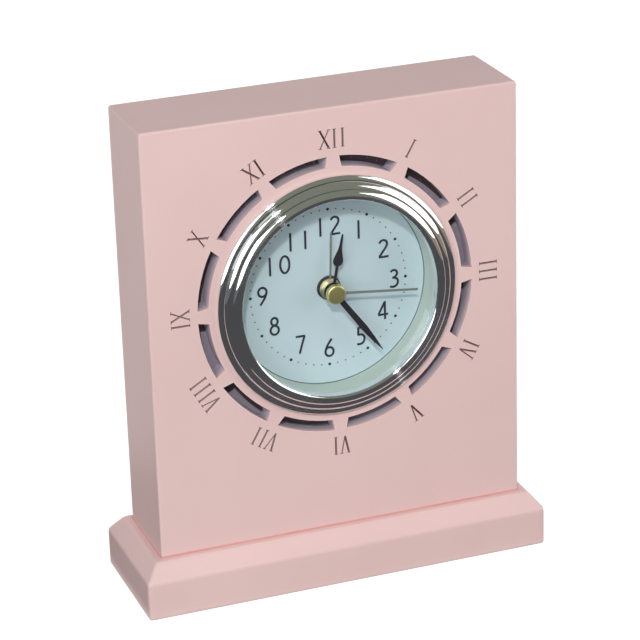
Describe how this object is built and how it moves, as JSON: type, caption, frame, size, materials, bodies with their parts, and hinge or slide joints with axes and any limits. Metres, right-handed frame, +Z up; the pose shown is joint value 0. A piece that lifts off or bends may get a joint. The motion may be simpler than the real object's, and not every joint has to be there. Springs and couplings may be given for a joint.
{
  "type": "table clock",
  "caption": "Upright painted wooden table clock on a chamfered plinth, with carved Roman numerals, a ring of slots and a pull-out chrome-rimmed alarm clock insert.",
  "frame": {"origin": "middle of the plinth's underside", "axes": "+Z up; the face looks along -Y; +X to the viewer's right"},
  "size_m": [0.1554, 0.0516, 0.1805],
  "materials": {
    "painted_wood": "satin pink paint over wood",
    "chrome": "polished",
    "glass": "clear",
    "white_plastic": "satin",
    "dial_card": "matt white, printed black",
    "black_plastic": "satin",
    "grey_plastic": "satin",
    "black_paint": "satin black",
    "grey_metal": "brushed",
    "brass": "polished",
    "copper_wire": "enamelled wire",
    "steel": "plain",
    "rubber": "matt black",
    "wheel_plastic": "moulded",
    "circuit": "board",
    "battery_can": "satin"
  },
  "bodies": {
    "case": {"front_panel": "painted_wood", "case_block": "painted_wood", "base_plinth": "painted_wood", "base_screw_1": "steel", "base_screw_2": "steel"},
    "insert": {"bezel": "chrome", "lens": "glass", "dial_ring": "white_plastic", "dial": "dial_card", "housing": "black_plastic", "grip_ring": "rubber", "movement_screw_1": "steel", "movement_screw_2": "steel", "centre_bush": "black_plastic", "movement_front": "grey_plastic", "middle_plate": "grey_plastic", "movement_rear": "grey_plastic", "stator": "steel", "coil_core": "steel", "coil": "copper_wire", "circuit_board": "circuit", "chip": "black_plastic", "quartz_crystal": "steel", "buzzer": "brass", "contact_plus": "steel", "contact_minus": "steel"},
    "second_hand_body": {"second_hand": "grey_metal", "second_hand_cap": "brass", "second_wheel": "wheel_plastic"},
    "centre_wheel_body": {"centre_wheel": "wheel_plastic"},
    "third_wheel_body": {"third_wheel": "wheel_plastic"},
    "intermediate_wheel_body": {"intermediate_wheel": "wheel_plastic"},
    "rotor_body": {"rotor": "steel"},
    "minute_hand_body": {"minute_hand": "black_paint", "cannon_pinion": "brass"},
    "hour_hand_body": {"hour_hand": "black_paint", "hour_wheel": "wheel_plastic"},
    "motion_wheel_body": {"motion_wheel": "wheel_plastic"},
    "time_knob_body": {"time_set_arbor": "brass", "time_set_knob": "black_plastic"},
    "alarm_hand_body": {"alarm_hand": "grey_metal", "alarm_wheel": "wheel_plastic"},
    "alarm_knob_body": {"alarm_set_arbor": "brass", "alarm_set_knob": "black_plastic"},
    "switch": {"alarm_switch": "black_plastic"},
    "cell": {"battery": "battery_can"}
  },
  "joints": [
    {"name": "insert_slide", "type": "slide", "parent": "case", "child": "insert", "axis": [0, -1, 0], "range_m": [0, 0.05]},
    {"name": "second_hand_turn", "type": "hinge", "parent": "insert", "child": "second_hand_body", "pos_m": [0, -0.01825, 0.1105], "axis": [0, 1, 0], "continuous": true},
    {"name": "centre_wheel_turn", "type": "hinge", "parent": "insert", "child": "centre_wheel_body", "pos_m": [0, -0.01825, 0.1105], "axis": [0, 1, 0], "continuous": true},
    {"name": "third_wheel_turn", "type": "hinge", "parent": "insert", "child": "third_wheel_body", "pos_m": [-0.00687, -0.01825, 0.11737], "axis": [0, 1, 0], "continuous": true},
    {"name": "intermediate_wheel_turn", "type": "hinge", "parent": "insert", "child": "intermediate_wheel_body", "pos_m": [0.00239, -0.01825, 0.11943], "axis": [0, 1, 0], "continuous": true},
    {"name": "rotor_turn", "type": "hinge", "parent": "insert", "child": "rotor_body", "pos_m": [0.00239, -0.01825, 0.12662], "axis": [0, 1, 0], "continuous": true},
    {"name": "minute_hand_turn", "type": "hinge", "parent": "insert", "child": "minute_hand_body", "pos_m": [0, -0.01825, 0.1105], "axis": [0, 1, 0], "continuous": true},
    {"name": "hour_hand_turn", "type": "hinge", "parent": "insert", "child": "hour_hand_body", "pos_m": [0, -0.01825, 0.1105], "axis": [0, 1, 0], "continuous": true},
    {"name": "motion_wheel_turn", "type": "hinge", "parent": "insert", "child": "motion_wheel_body", "pos_m": [0.00779, -0.01825, 0.115], "axis": [0, 1, 0], "continuous": true},
    {"name": "time_knob_turn", "type": "hinge", "parent": "insert", "child": "time_knob_body", "pos_m": [0.01469, -0.01825, 0.10922], "axis": [0, 1, 0], "continuous": true},
    {"name": "alarm_hand_turn", "type": "hinge", "parent": "insert", "child": "alarm_hand_body", "pos_m": [0, -0.01825, 0.1105], "axis": [0, 1, 0], "continuous": true},
    {"name": "alarm_knob_turn", "type": "hinge", "parent": "insert", "child": "alarm_knob_body", "pos_m": [-0.00906, -0.01825, 0.10627], "axis": [0, 1, 0], "continuous": true},
    {"name": "alarm_switch_slide", "type": "slide", "parent": "insert", "child": "switch", "axis": [1, 0, 0], "range_m": [0, 0.0035]},
    {"name": "battery_slide", "type": "slide", "parent": "insert", "child": "cell", "axis": [0, 1, 0], "range_m": [0, 0.02]}
  ],
  "couplings": [
    {"joint": "centre_wheel_turn", "follows": "second_hand_turn", "ratio": 0.016667},
    {"joint": "third_wheel_turn", "follows": "second_hand_turn", "ratio": -0.13333},
    {"joint": "intermediate_wheel_turn", "follows": "second_hand_turn", "ratio": -6},
    {"joint": "rotor_turn", "follows": "second_hand_turn", "ratio": 30},
    {"joint": "motion_wheel_turn", "follows": "minute_hand_turn", "ratio": -0.33333},
    {"joint": "hour_hand_turn", "follows": "minute_hand_turn", "ratio": 0.083333},
    {"joint": "time_knob_turn", "follows": "minute_hand_turn", "ratio": 1},
    {"joint": "alarm_knob_turn", "follows": "alarm_hand_turn", "ratio": -2.5714}
  ]
}
